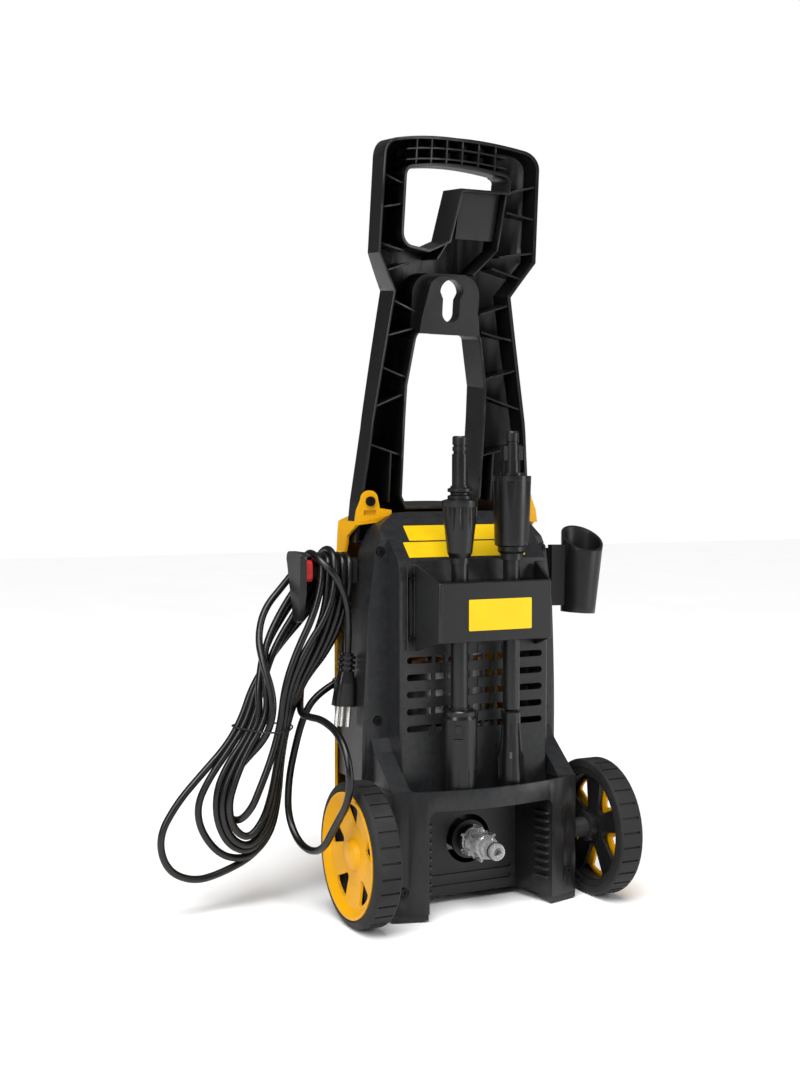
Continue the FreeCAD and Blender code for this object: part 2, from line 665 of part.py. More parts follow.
# ================================================================ wheels
def make_wheel(side, rotation):
    name = "left" if side < 0 else "right"
    inner_face = on_axle(side, dim("wheel_outer") - dim("wheel_width"))
    bore = dim("axle_radius") + dim("running_gap")
    width = dim("wheel_width")
    rim_out = dim("tyre_inner")

    tyre = turned("tyre_" + name, [(rim_out, 1), (62, 0), (67.2, 0), ("arc", (69.2, 0.8), (70, 2.8)),
                  (70, width - 7), ("arc", (68.8, width - 2.6), (65.2, width - 0.6)), (62.6, width),
                  (rim_out, width - 1.2)], inner_face, rotation)
    groove = pocket(tyre, "XY", rectangle(68.7, -1.1, 72, 1.1), width - 8.5, lift=2.4, back=True)
    around(tyre, groove, "tread_grooves")

    rim = turned("wheel_" + name, [(bore, 0), (15, 0), (15, 9), (24, 10.5), (50, 10.5), (55.5, 6),
                 (55.5, 1.5), (rim_out, 1.5), (rim_out, width - 2), (58.5, width - 2), (58.5, width - 7),
                 (55.5, width - 8), (50, 14), (24, 14), (15, 15.5), (11.8, 16), (11.8, 20), (bore, 20)],
                 inner_face, rotation)
    gap = pocket(rim, "XY", [(20, -3.0), (50, -20.5), ("arc", (54, 0), (50, 20.5)), (20, 3.0)], 40,
                 both=True)
    around(rim, gap, "wheel_windows")

    cap = turned("hub_cap_" + name, [(0, 21.5), (12, 21.5), (16, 17.6), (30, 16.2), (52, 19.6),
                 (58.2, 23.4), (58.2, width - 1.4), (60.7, width - 1.4),
                 (60.7, width + 0.2), (59.5, width + 0.6), (57.6, width), (51, 22.2),
                 (30, 18.8), (16.5, 20.2), (13, 24.4), (6, 25.8), (0, 26)],
                 inner_face, rotation)
    window = pocket(cap, "XY", [(27, -1.6), (45.5, -13), (48, -9.5), ("arc", (49.2, 0), (48, 9.5)),
                    (45.5, 13), (27, 1.6)], 60, both=True)
    around(cap, window, "wheel_windows")


def on_axle(side, across):
    """A point on the wheels' axis, this far from the middle plane."""
    return (side * across, dim("axle_back"), dim("wheel_radius"))


def make_axles():
    """A stub axle on each side, with a spacer against the base and a clip outside the hub."""
    axles, spacers, clips = [], [], []
    radius = dim("axle_radius")
    inner = dim("wheel_outer") - dim("wheel_width")
    base_side = dim("base_half")
    for side, rotation in ((-1, TO_LEFT), (1, TO_RIGHT)):
        axles.append(rod("axle_pin", on_axle(side, 73.4), rotation, "axle_radius", inner - 52.2))
        axles.append(rod("axle_head", on_axle(side, 73.4), rotation, 8.8, 3.6))
        bore = rod("spacer_in", on_axle(side, 60), rotation, radius + dim("running_gap"), 80)
        sleeve = rod("spacer_out", on_axle(side, base_side + 0.2), rotation, 10, inner - base_side - 0.6)
        spacers.append(cut("axle_spacer", sleeve, [bore]))
        hole = rod("clip_in", on_axle(side, 60), rotation, radius, 90)
        disc = rod("clip_out", on_axle(side, inner + 20.3), rotation, 9.5, 0.9)
        clips.append(cut("axle_clip", disc, [hole]))
    keep("axles", fuse("axle_pair", axles))
    keep("axle_spacers", fuse("spacer_pair", spacers))
    keep("axle_clips", fuse("clip_pair", clips))


# ================================================================ accessory holder and labels
def make_holder():
    back = dim("panel_back") - 0.2
    outer = [(-78, back), (-78, back - 2.5), (-70, back - 2.5), (-63, -84),
             ("arc", (-62, -85.6), (-60, -86)), (60, -86), ("arc", (62, -85.6), (63, -84)),
             (70, back - 2.5), (78, back - 2.5), (78, back)]
    inner = [(-67.3, back + 1), (-60.2, -83.2), (60.2, -83.2), (67.3, back + 1)]
    band = cut("holder_band", prism("holder_out", "XY", outer, 262, 347),
               [prism("holder_in", "XY", inner, 250, 360)])
    side_view = [(-43, 262), (-43, 347), (-48, 346), (-86.5, 330), (-86.5, 273), (-48, 262)]
    shaped = common("holder_shaped", [band, prism("holder_side", "YZ", side_view, -90, 90)])
    holes = [rod("holder_screw_hole", (side * 74, -60, level), TO_FRONT, 1.75, 30)
             for side in (-1, 1) for level in (274, 336)]
    keep("accessory_holder", cut("holder_shape", shaped, holes))
    keep("holder_label", prism("label_plate", "XZ", round_rectangle(-31, 283.5, 39, 314, 1.2),
                               -86.55, -86.05))


def make_top_label():
    """A plain sticker in two fields on the sloping back edge of the case."""
    slope = math.degrees(math.atan2(dim("case_top") - 356, 43))
    fields = [prism("label_field", "XY", round_rectangle(-70, 4, 62, 25, 1), 0, 0.5),
              prism("label_field", "XY", round_rectangle(-62, 27, 62, 48, 1), 0, 0.5)]
    joined = fuse("top_label_fields", fields)
    joined.Placement = Place(Vec(0, -37.05, 350.05), Rot(Vec(1, 0, 0), slope))
    keep("top_label", joined)


# ================================================================ gun holster and cord hook
def make_holster():
    lean = Rot(Vec(0, 1, 0), 4)
    top = doc.addObject("Part::Cone", "cup_outer")
    top.Radius1, top.Radius2, top.Height = 18.2, 23.2, 92
    top.Placement = Place(Vec(137.6, -15, 289), lean)
    bore = doc.addObject("Part::Cone", "cup_inner")
    bore.Radius1, bore.Radius2, bore.Height = 15.4, 21.4, 100
    bore.Placement = Place(Vec(137.8, -15, 292), lean)
    mouth = prism("cup_mouth", "YZ", [(-60, 341), (20, 387), (20, 420), (-60, 420)], 100, 200)
    plate = prism("cup_plate", "XY", [(106, -14), (125, -18), (125, -13.5), (112, -6), (106, -6)],
                  297, 361)
    flange = box("cup_flange", (105.2, -9, 300), (111.5, 6, 357))
    joined = fuse("cup_joined", [top, plate])
    cup = cut("cup_shape", joined, [bore, mouth])
    outside = prism("case_side_room", "XZ", case_face_room(1), -60, 60)
    keep("gun_holster", cut("cup_trimmed", fuse("cup_all", [cup, flange]), [outside]))


def make_hook():
    """The arm that the cord hangs on, with a paddle that keeps it from sliding off."""
    height = dim("arm_height")
    back = dim("arm_back")
    arm = prism("hook_arm", "YZ", [(back - 6, height - 8), (back + 6, height - 8),
                ("arc", (back + 9, height), (back + 6, height + 7)), ("arc", (back, height + 9.5),
                (back - 6, height + 7)), ("arc", (back - 9, height), (back - 6, height - 8))], -164, -99)
    paddle = prism("hook_paddle", "YZ", [(20, 291), ("arc", (27, 287.5), (34, 291)), (50, 346),
                   ("arc", (50, 355), (44, 358)), (20, 358), ("arc", (14.5, 356), (13, 350)),
                   (14, 318)], -167, -162.5)
    rim = cut("paddle_rim", prism("paddle_rim_out", "YZ", [(20, 291), ("arc", (27, 287.5), (34, 291)),
              (50, 346), ("arc", (50, 355), (44, 358)), (20, 358), ("arc", (14.5, 356), (13, 350)),
              (14, 318)], -167, -160), [prism("paddle_rim_in", "YZ", [(22, 294), (32, 294), (46, 345),
              (42, 355), (21, 355), (16.5, 349), (17, 320)], -163.5, -150)])
    flange = box("hook_flange", (-110, 16, 326), (-104.5, 44, 351))
    outside = prism("hook_room", "XZ", case_face_room(-1), -60, 60)
    keep("cord_hook", cut("hook_shape", fuse("hook_joined", [arm, paddle, rim, flange]), [outside]))
    band = cut("band_shape", prism("band_out", "YZ", round_rectangle(back - 11, height - 10, back + 11,
               height + 11.5, 5), -158.5, -151.5),
               [prism("band_in", "YZ", round_rectangle(back - 9.3, height - 8.3, back + 9.3, height + 9.8, 3),
                      -170, -140)])
    keep("hook_band", band)


def case_face_room(side):
    """What the case fills on one side, three tenths of a millimetre larger."""
    return [(side * 60, 280), (side * 107.9, 280), (side * 106.3, 300), (side * 98.4, 358),
            (side * 90, 375), (side * 60, 375)]


# ================================================================ lances
def make_lances():
    seat = dim("lance_seat")
    back = dim("lance_back")
    side = dim("turbo_side")
    turned("turbo_lance_tube", [(0, 60), (8.5, 60), (8.5, 312), (7.9, 312), (7.9, 343), (6.5, 343),
           (6.5, 346), (7.5, 346), (7.5, 350), (6.5, 350), (6.5, 352), (7.5, 352), (7.5, 359),
           (6.5, 360.5), (0, 360.5)], (side, back, seat))
    grip = turned("turbo_lance_grip", [(8.55, 235.5), (9.8, 235.5), (9.8, 241), (12.4, 246), (16.8, 285),
                  (17.6, 295), (17.6, 297.5), (12.2, 299), (12.2, 302), (9.4, 303.2), (9.4, 305),
                  (12.2, 306.2), (12.2, 309), (9.4, 310.2), (9.4, 311.6), (8.55, 311.6)], (side, back, seat))
    flute = pocket(grip, "XY", ("circle", (19.5, 0), 4.6), 42, lift=249, back=True)
    around(grip, flute, 10)
    sleeve = turned("turbo_nozzle", [(0, 8), (7, 8), (9, 0), (16, 0), (17.6, 2), (17.6, 83), (16.6, 86),
                    (16.6, 90), (15.6, 91.2), (10.5, 91.2), (10.5, 93), (8.55, 93), (8.55, 59.5), (0, 59.5)],
                    (side, back, seat), Rot(Vec(0, 0, 1), -30))
    ridge = pocket(sleeve, "XY", rectangle(16.9, -1.9, 20, 1.9), 34, lift=-1, back=True)
    around(sleeve, ridge, 12)
    pocket(sleeve, "XZ", rectangle(-4.8, 64, 4.8, 83), 4.4, lift=17.6, both=True)
    pad(sleeve, "XZ", rectangle(-2.8, 70, 2.8, 77), 2.4, lift=16.0, both=True)

    side = dim("fan_side")
    turned("fan_lance_tube", [(0, 30), (5, 30), (5, 86), (8.5, 88), (8.5, 325), (8.2, 325), (8.2, 336),
           (7.2, 336), (7.2, 352.5), (6.3, 352.5), (6.3, 355.5), (7.0, 356), (7.0, 364), (6.2, 366),
           (0, 366)], (side, back, seat))
    pad(nodes["fan_lance_tube"], "XY", rectangle(-11, -3.4, 11, 3.4), 14, lift=337)
    grip = turned("fan_lance_grip", [(8.55, 238), (11.5, 238), (11.5, 244), (14, 246.5), (14, 251),
                  (17.0, 252.5), (17.2, 256), (19.2, 318), (19.2, 321.5), (12, 321.5), (12, 324.5),
                  (8.55, 324.5)], (side, back, seat))
    facet = pocket(grip, "XY", ("circle", (35.5, 0), 17.6), 54, lift=262, back=True)
    around(grip, facet, 6)
    nozzle = turned("fan_nozzle", [(0, 8), (6, 8), (9, 0), (12.4, 0), (13.2, 1.5), (12.8, 12), (9.6, 62),
                    (9.3, 84.5), (8.2, 85.3), (5.05, 85.3), (5.05, 29.5), (0, 29.5)], (side, back, seat))
    fin = pad(nozzle, "XZ", [(8, 2), (15.2, 2), (15.2, 40), (12.2, 46), (9.8, 74), (6, 74)], 2.6, both=True)
    around(nozzle, fin, 6)


# ================================================================ motor and pump
def make_drive():
    front = dim("motor_front")
    foot = dim("motor_foot")
    stator_radius = dim("stator_radius")
    shaft = dim("shaft_radius")
    axis = (0, front, 0)

    stator = turned("motor_stator", [(29, foot + 22), (stator_radius, foot + 22),
                    (stator_radius, foot + 76), (29, foot + 76)], axis)
    pole_gap = pocket(stator, "XY", [(0, 11), (42, 30), ("arc", (50, 0), (42, -30)), (0, -11)], 80,
                      lift=foot + 10, back=True)
    around(stator, pole_gap, 2)
    coils = []
    for side in (-1, 1):
        winding = prism("coil_out", "XZ", round_rectangle(-25.4, foot + 8, 25.4, foot + 90, 9), 0, 11)
        room = prism("coil_in", "XZ", round_rectangle(-13, foot + 21, 13, foot + 77, 4), -1, 16)
        loop = cut("coil", winding, [room])
        loop.Placement = Place(Vec(side * 33, front, 0), Rot(Vec(0, 0, 1), -90 * side))
        coils.append(loop)
    keep("field_coils", fuse("coil_pair", coils))
    turned("rotor_core", [(shaft + 0.02, foot + 24), (28.3, foot + 24), (28.3, foot + 74),
           (shaft + 0.02, foot + 74)], axis)
    turned("commutator", [(shaft + 0.02, foot + 82), (14, foot + 82), (14, foot + 96),
           (shaft + 0.02, foot + 96)], axis)
    turned("rotor_shaft", [(0, foot - 34), (shaft, foot - 34), (shaft, foot + 132), (shaft - 0.8, foot + 133),
           (0, foot + 133)], axis)
    fan = turned("cooling_fan", [(shaft + 0.02, foot + 116), (12, foot + 116), (38, foot + 118),
                 (38, foot + 120), (12, foot + 121), (12, foot + 130), (shaft + 0.02, foot + 130)], axis)
    blade = pad(fan, "XY", rectangle(11, -1, 37, 1), 9, lift=foot + 119.5)
    around(fan, blade, 9)
    upper = turned("motor_end_upper", [(13.05, foot + 108), (56, foot + 108), (56, foot + 92),
                   (53, foot + 92), (53, foot + 104.5), (17, foot + 104.5), (17, foot + 98),
                   (13.05, foot + 98)], axis)
    lower = turned("motor_end_lower", [(13.05, foot), (58, foot), (58, foot + 6), (56, foot + 20),
                   (53, foot + 20), (53, foot + 5), (20, foot + 5), (20, foot + 12), (13.05, foot + 12)],
                   axis)
    for plate in (upper, lower):
        nodes.pop(plate.Label)
    keep("motor_end_plates", fuse("end_plate_pair", [upper, lower]))
    rings = [cut("bearing", rod("bearing_out", (0, front, level), Rot(), 13, 9),
                 [rod("bearing_in", (0, front, level - 1), Rot(), shaft + 0.05, 11)])
             for level in (foot + 1, foot + 98.5)]
    keep("motor_bearings", fuse("bearing_pair", rings))
    wobble = turned("swash_plate", [(shaft + 0.02, foot - 30), (20, foot - 30), (20, foot - 14),
                    (9, foot - 10), (shaft + 0.02, foot - 10)], axis)
    slant = [(-24, foot - 31), (24, foot - 31), (24, foot - 24), (-24, foot - 29)]
    pocket(wobble, "XZ", slant, 60, both=True)
    turned("pump_casing", [(30, foot - 50), (36, foot - 50), (36, foot - 6), (46, foot - 4),
           (46, foot - 0.3), (21, foot - 0.3), (21, foot - 9), (30, foot - 11)], axis)
    head = turned("pump_head", [(0, 46), (36, 46), (36, foot - 50.3), (0, foot - 50.3)], axis)
    bore = pocket(head, "XY", ("circle", (17, 0), 6.5), 40, lift=foot - 90, back=True)
    around(head, bore, 3)
    springs = []
    pistons = []
    for count in range(3):
        angle = math.radians(120 * count)
        spot = (17 * math.cos(angle), front + 17 * math.sin(angle))
        pistons.append(rod("piston", (spot[0], spot[1], foot - 74), Rot(), 6.3, 42))
        outer = rod("spring_outer", (spot[0], spot[1], foot - 50), Rot(), 9.2, 14)
        springs.append(cut("spring_sleeve", outer, [rod("spring_inner", (spot[0], spot[1], foot - 51),
                                                        Rot(), 6.8, 16)]))
    keep("pistons", fuse("piston_group", pistons))
    keep("piston_springs", fuse("spring_group", springs))


def make_water_side():
    """Inlet towards the accessory side, outlet towards the front, with the pump's manifold."""
    level = dim("port_height")
    front = dim("motor_front")
    nose = dim("nipple_radius")
    spout = dim("outlet_radius")
    turned("inlet_socket", [(9.4, 0), (15, 0), (15, 10), (19.5, 10), (19.5, 14), (15, 14), (15, 41.8),
                   (9.4, 41.8)], (0, -40, level), TO_FRONT)
    adapter = turned("inlet_adapter", [(4.5, -49), (7.6, -49), (nose, -47.5), (nose, -44), (6.9, -43.4),
                     (6.9, -40.6), (nose, -40), (nose, -34), (10.4, -32.8), (10.4, -27), (12.2, -25.5),
                     (12.2, -8), (14.5, -7), (14.5, -0.3), (9.2, -0.3), (9.2, 9), (6, 9), (4.5, 6)],
                     (0, -41, level), TO_FRONT)
    wing = pad(adapter, "XY", rectangle(-1.4, 11.5, 1.4, 17.6), 15, lift=-15.3)
    around(adapter, wing, 6)
    turned("inlet_o_ring", [(6.95, -43.2), (8.6, -43.2), (9.0, -42), (8.6, -40.8), (6.95, -40.8)],
           (0, -41, level), TO_FRONT)
    turned("inlet_filter", [(3.2, 10), (8.9, 10), (8.9, 12), (4.4, 13), (4.4, 32), (0, 32), (0, 30.5),
           (3.2, 30.5)], (0, -41, level), TO_FRONT)
    outlet = turned("high_pressure_outlet", [(4, 0), (13, 0), (13, 24), (9.5, 24), (9.5, 28), (spout, 28),
                    (spout, 47), (spout - 1, 48), (4, 48)], (34, 74, dim("outlet_height")), TO_FRONT)
    pad(outlet, "XY", rectangle(-15.5, -9, 15.5, 9), 8, lift=12)
    block = prism("manifold_block", "XY", [(14, 70), (50, 70), (50, 86), (14, 86)], 47, 78)
    neck = box("manifold_neck", (14, 58, 50), (36, 71, 76))
    body = fuse("manifold_joined", [block, neck])
    keep("outlet_manifold", cut("manifold_shape", body, [
        rod("manifold_room", (34, 73.6, dim("outlet_height")), TO_FRONT, 13.1, 40),
        rod("head_room", (0, front, 30), Rot(), 36.3, 80)]))


def make_electrics():
    level = dim("knob_height")
    knob = turned("switch_knob", [(0, -22), (3.5, -22), (3.5, 0.5), (22, 0.5), (24, 2), (22.6, 9.6),
                  (21, 11), (0, 11)], (0, 108, level), TO_FRONT)
    pad(knob, "XY", round_rectangle(-5.5, -20, 5.5, 20, 5), 9, lift=10)
    switch = box("switch_block", (-20, 79, level - 22), (20, 103, level + 22))
    keep("switch_body", cut("switch_shape", switch, [rod("switch_bore", (0, 85, level), TO_FRONT, 3.6, 20)]))
    turned("capacitor", [(0, 0), (14, 0), (15, 1), (15, 46), (13, 48), (0, 48)], (-78, 12, 170))
    chokes = []
    for base in (176, 218):
        core = rod("choke_core", (84, 0, base), Rot(), 4, 40)
        coil = rod("choke_coil", (84, 0, base + 3), Rot(), 9.5, 34)
        chokes.append(fuse("choke", [core, coil]))
    keep("suppression_chokes", fuse("choke_pair", chokes))
    keep("pressure_switch", box("pressure_switch_box", (-52, 30, 84), (-37, 54, 112)))


# ================================================================ cord
LEAD_ROUTE = [(-121.3, 36, 222), (-143, 34, 212), (-158, 31, 190), (-167, 30, 160), (-173.5, 31, 127.5),
              (-174, 30, 92), (-168, 4, 67.5), (-162, -31.5, 69.5), (-160, -60, 102), (-159, -90, 131),
              (-159, -92, 164), (-160, -70, 190), (-163, -34, 197), (-170, 1, 194), (-176, 17, 190)]
TAIL_ROUTE = [(-148, 17, 347), (-134, 10, 333), (-122, 9.5, 309), (-116.5, 9.5, 282), (-117.6, 10, 256)]


def rounded_route(points):
    """Straight runs between the points, joined by tangent arcs as large as the runs allow."""
    points = [Vec(*p) for p in points]
    edges = []
    radii = []
    start = points[0]
    for before, corner, after in zip(points, points[1:], points[2:]):
        inward = before - corner
        outward = after - corner
        shorter = min(inward.Length, outward.Length)
        turn_angle = math.pi - inward.getAngle(outward)
        reach = 0.45 * shorter
        radii.append(reach / math.tan(turn_angle / 2))
        first = corner + inward.normalize() * reach
        last = corner + outward.normalize() * reach
        middle_line = (first + last) * 0.5
        centre_gap = radii[-1] / math.cos(turn_angle / 2)
        towards = (middle_line - corner).normalize()
        middle = corner + towards * (centre_gap - radii[-1])
        edges.append(Part.LineSegment(start, first).toShape())
        edges.append(Part.Arc(first, middle, last).toShape())
        start = last
    edges.append(Part.LineSegment(start, points[-1]).toShape())
    return Part.Wire(edges), radii


def tube(label, points):
    """A cord's tube along its route, with its volume checked against section times length."""
    radius = dim("cord_radius")
    path, radii = rounded_route(points)
    first = path.Edges[0]
    direction = first.tangentAt(first.FirstParameter)
    ring = Part.Wire([Part.Circle(Vec(*points[0]), direction, radius).toShape()])
    solid = path.makePipeShell([ring], True, False)
    if solid.Volume < 0:
        solid.reverse()
    expected = math.pi * radius ** 2 * path.Length
    runs = [round((Vec(*b) - Vec(*a)).Length, 1) for a, b in zip(points, points[1:])]
    print(label, "length %.0f" % path.Length, "radii", [round(r, 1) for r in radii], "runs", runs,
          "volume ratio %.4f" % (solid.Volume / expected))
    if abs(solid.Volume / expected - 1) > 0.01:
        raise ValueError(label + ": the tube's volume is not its section times its length")
    feature = doc.addObject("Part::Feature", label)
    feature.Shape = solid
    return keep(label, feature)


def hank_outline():
    """Silhouette of the hank: over the arm, drawn in at the tie, fanned out below."""
    return [(-159.5, 340), ("arc", (-152, 354), (-140, 357)), ("arc", (-124, 351), (-114, 336)),
            (-113.5, 286), (-129, 247), (-156, 219), (-164, 194), (-168.5, 178), (-174, 156),
            (-180, 122), (-181, 90), ("arc", (-195, 62), (-226, 50)), (-240, 46), (-262, 36.5),
            ("arc", (-290, 42), (-304, 62)), ("arc", (-307, 84), (-297, 110)), (-268, 141), (-236, 169),
            (-218, 187), (-207, 222), (-206, 256), (-199, 284), (-159.5, 284)]


def make_cord():
    back = dim("arm_back")
    turned("cord_gland", [(4.0, -8), (6.8, -8), (6.8, 4.7), (10, 4.7), (10, 8), (7.6, 9.5), (5.8, 16),
           (4.0, 16)], (-105.7, 36, dim("gland_height")), TO_LEFT)
    tube("cord_lead", LEAD_ROUTE)
    tube("cord_tail", TAIL_ROUTE)
    height = dim("arm_height")
    around_arm = round_rectangle(back - 11.6, height - 60, back + 11.6, height + 12, 6)
    tunnel = prism("hank_tunnel", "YZ", around_arm, -168, -90)
    cover_room = box("cover_room", (-119, 38.6, 240), (-100, 60, 352))
    keep("cord_hank", cut("hank_shape", prism("hank_solid", "XZ", hank_outline(), 14, 48),
                          [tunnel, cover_room]))
    waist = [(-224.3, 181), (-167.3, 181), (-165.9, 186), (-219.3, 186)]
    keep("cord_tie", cut("tie_shape", box("tie_out", (-225.6, 12.6, 182), (-164.4, 49.4, 184.6)),
                         [prism("tie_in", "XZ", waist, 13.7, 48.3)]))
    make_plug()


def make_plug():
    """A moulded three-pin plug hanging pins down, with a ribbed strain relief."""
    top = Vec(-117.6, 10, 256)
    axis = Rot(Vec(0, 1, 0), 5)
    relief = [rod("relief_core", (0, 0, -18.3), Rot(), 6.0, 18.3)]
    for level in (-5.2, -10.4, -15.6):
        relief.append(rod("relief_ring", (0, 0, level), Rot(), 8.6, 2.6))
    body = doc.addObject("Part::Loft", "plug_loft")
    rings = []
    for name, half_x, half_y, level in (("plug_top", 7.5, 6.5, -18.2), ("plug_mid", 9.5, 7.5, -30),
                                        ("plug_end", 11.5, 8.0, -53)):
        ring = doc.addObject("Sketcher::SketchObject", name)
        draw(ring, round_rectangle(-half_x, -half_y, half_x, half_y, 4.5))
        ring.Placement = Place(Vec(0, 0, level), Rot())
        rings.append(ring)
    body.Sections = rings
    body.Solid = True
    body.Ruled = True
    moulding = fuse("plug_moulding", [body] + relief)
    moulding.Placement = Place(top, axis)
    keep("plug_body", moulding)
    pins = []
    for across, depth in ((-6.5, 0), (6.5, 0), (0, 3)):
        pins.append(rod("plug_pin", (across, depth, -74), Rot(), 2.2, 21))
    group = fuse("pin_group", pins)
    group.Placement = Place(top, axis)
    keep("plug_pins", group)


for make in (make_base, make_rear_cover, make_front_cover, make_handle, make_screws, make_feet):
    make()
for wheel_side, wheel_turn in ((-1, TO_LEFT), (1, TO_RIGHT)):
    make_wheel(wheel_side, wheel_turn)
for make in (make_axles, make_holder, make_top_label, make_holster, make_hook, make_lances, make_drive,
             make_water_side, make_electrics, make_cord):
    make()
doc.recompute()

failed = [thing.Label for thing in doc.Objects
          if any(word in thing.State for word in ("Invalid", "Error"))]
for label, thing in nodes.items():
    if thing.Shape.isNull() or not thing.Shape.isValid() or not thing.Shape.Solids:
        failed.append(label)
if failed:
    raise ValueError("these objects failed: " + ", ".join(failed))

CORD_NODES = ("cord_lead", "cord_hank", "cord_tail", "cord_tie", "plug_body", "plug_pins")
os.makedirs("parts", exist_ok=True)
whole = FreeCAD.BoundBox()
for label, thing in nodes.items():
    thing.Shape.exportStep("parts/%s.step" % label)
    if label not in CORD_NODES:
        whole.add(thing.Shape.BoundBox)
print(len(nodes), "nodes; without the cord x %.1f..%.1f y %.1f..%.1f z %.1f..%.1f" % (
    whole.XMin, whole.XMax, whole.YMin, whole.YMax, whole.ZMin, whole.ZMax))
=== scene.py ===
import json
import math
import bmesh
import bpy
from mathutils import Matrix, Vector


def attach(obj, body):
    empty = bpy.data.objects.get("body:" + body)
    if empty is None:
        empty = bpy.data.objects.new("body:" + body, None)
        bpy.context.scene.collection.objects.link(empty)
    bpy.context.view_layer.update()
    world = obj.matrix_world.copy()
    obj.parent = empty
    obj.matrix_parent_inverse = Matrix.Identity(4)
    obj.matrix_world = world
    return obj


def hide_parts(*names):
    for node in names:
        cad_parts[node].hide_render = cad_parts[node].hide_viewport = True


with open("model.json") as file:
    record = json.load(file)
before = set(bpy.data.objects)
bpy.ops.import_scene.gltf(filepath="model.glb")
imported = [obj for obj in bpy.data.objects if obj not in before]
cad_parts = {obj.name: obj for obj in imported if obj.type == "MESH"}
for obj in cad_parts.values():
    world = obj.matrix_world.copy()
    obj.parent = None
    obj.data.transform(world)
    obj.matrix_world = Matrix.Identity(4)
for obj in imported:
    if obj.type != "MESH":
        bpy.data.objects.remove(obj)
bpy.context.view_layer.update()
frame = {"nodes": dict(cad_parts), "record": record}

# Looks of an upright pressure washer on wheels: its cord in a hank on a side hook, then the
# finish of every moulded, machined and wound part.  Metres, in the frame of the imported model.

nodes = frame["nodes"]
scene = bpy.context.scene
scene.view_settings.view_transform = "Standard"

# ---------------------------------------------------------------- camera
YAW = math.radians(25.345)
PITCH = math.radians(-2.464)
EYE = (-0.6897, -1.3207, 0.439)
LENS_MM = 48.9
FILM_MM = 36
ahead = Vector((math.sin(YAW) * math.cos(PITCH), math.cos(YAW) * math.cos(PITCH), math.sin(PITCH)))
camera_data = bpy.data.cameras.new("camera")
camera_data.lens = LENS_MM
camera_data.sensor_width = FILM_MM
camera = bpy.data.objects.new("camera", camera_data)
camera.location = EYE
camera.rotation_mode = "QUATERNION"
camera.rotation_quaternion = ahead.to_track_quat("-Z", "Y")
scene.collection.objects.link(camera)
scene.camera = camera

# ---------------------------------------------------------------- cord
CORD_DIAMETER = 0.0073

# The lead: out of the gland, down, round in front of the wheel and up to the waist.
LEAD = [
    (-.1215, .036, .222), (-.143, .034, .212), (-.158, .031, .19), (-.167, .03, .16),
    (-.1735, .031, .1275), (-.175, .029, .091), (-.1705, .004, .066), (-.1635, -.0315, .068),
    (-.16, -.06, .102), (-.159, -.09, .131), (-.159, -.092, .164), (-.16, -.07, .19),
    (-.163, -.034, .199), (-.165, -.004, .197),
]
# In behind the waist and up the back to the arm.
JOIN = [
    (-.163, .024, .196), (-.1535, .05, .2045), (-.1485, .055, .2355), (-.133, .053, .272),
    (-.12, .049, .306), (-.1145, .047, .3315),
]
# Over the arm, down the right of the waist, round the widest loop, up the left.
BIG_LOOP = [
    (-.113, .043, .3535), (-.1125, .0165, .3535), (-.114, .012, .329), (-.118, .018, .296),
    (-.129, .03, .26), (-.1515, .042, .2275), (-.17, .047, .1915), (-.175, .047, .15),
    (-.179, .046, .112), (-.187, .045, .076), (-.205, .0445, .053), (-.238, .042, .04),
    (-.27, .038, .035), (-.299, .034, .05), (-.308, .032, .084), (-.288, .034, .116),
    (-.259, .0395, .143), (-.233, .0445, .1665), (-.217, .046, .192), (-.204, .05, .2245),
    (-.176, .053, .2615), (-.1395, .0515, .2995), (-.122, .047, .3305),
]
# The next turn, a little smaller.
SECOND_LOOP = [
    (-.12, .0435, .3535), (-.12, .0165, .3535), (-.121, .012, .329), (-.126, .015, .296),
    (-.138, .022, .26), (-.1565, .033, .2265), (-.17, .0395, .1905), (-.178, .0395, .15),
    (-.182, .038, .108), (-.19, .038, .074), (-.212, .038, .052), (-.241, .038, .056),
    (-.262, .039, .082), (-.267, .039, .11), (-.254, .0365, .1375), (-.233, .0365, .1645),
    (-.214, .0395, .19), (-.203, .0425, .225), (-.1805, .046, .2615), (-.1465, .0475, .3015),
    (-.1295, .046, .331),
]
# Inside the second.
THIRD_LOOP = [
    (-.1275, .0435, .3535), (-.127, .017, .3535), (-.128, .013, .3285), (-.134, .014, .296),
    (-.147, .017, .26), (-.163, .026, .226), (-.1725, .0325, .19), (-.182, .032, .15),
    (-.186, .031, .112), (-.194, .031, .082), (-.214, .031, .06), (-.236, .031, .068),
    (-.249, .031, .094), (-.249, .032, .124), (-.237, .032, .15), (-.221, .0325, .17),
    (-.2085, .0335, .192), (-.2, .035, .2245), (-.185, .0395, .2625), (-.155, .045, .303),
    (-.137, .046, .3315),
]
# Inside the third.
FOURTH_LOOP = [
    (-.134, .043, .3535), (-.1355, .017, .3535), (-.1375, .0125, .329), (-.142, .013, .296),
    (-.157, .014, .26), (-.171, .02, .226), (-.1765, .0255, .19), (-.186, .026, .15),
    (-.19, .025, .116), (-.198, .025, .088), (-.216, .025, .066), (-.236, .025, .076),
    (-.245, .025, .1), (-.243, .026, .126), (-.23, .026, .152), (-.215, .026, .176),
    (-.2055, .0255, .195), (-.206, .029, .226), (-.194, .045, .262), (-.163, .055, .302),
    (-.137, .056, .334),
]
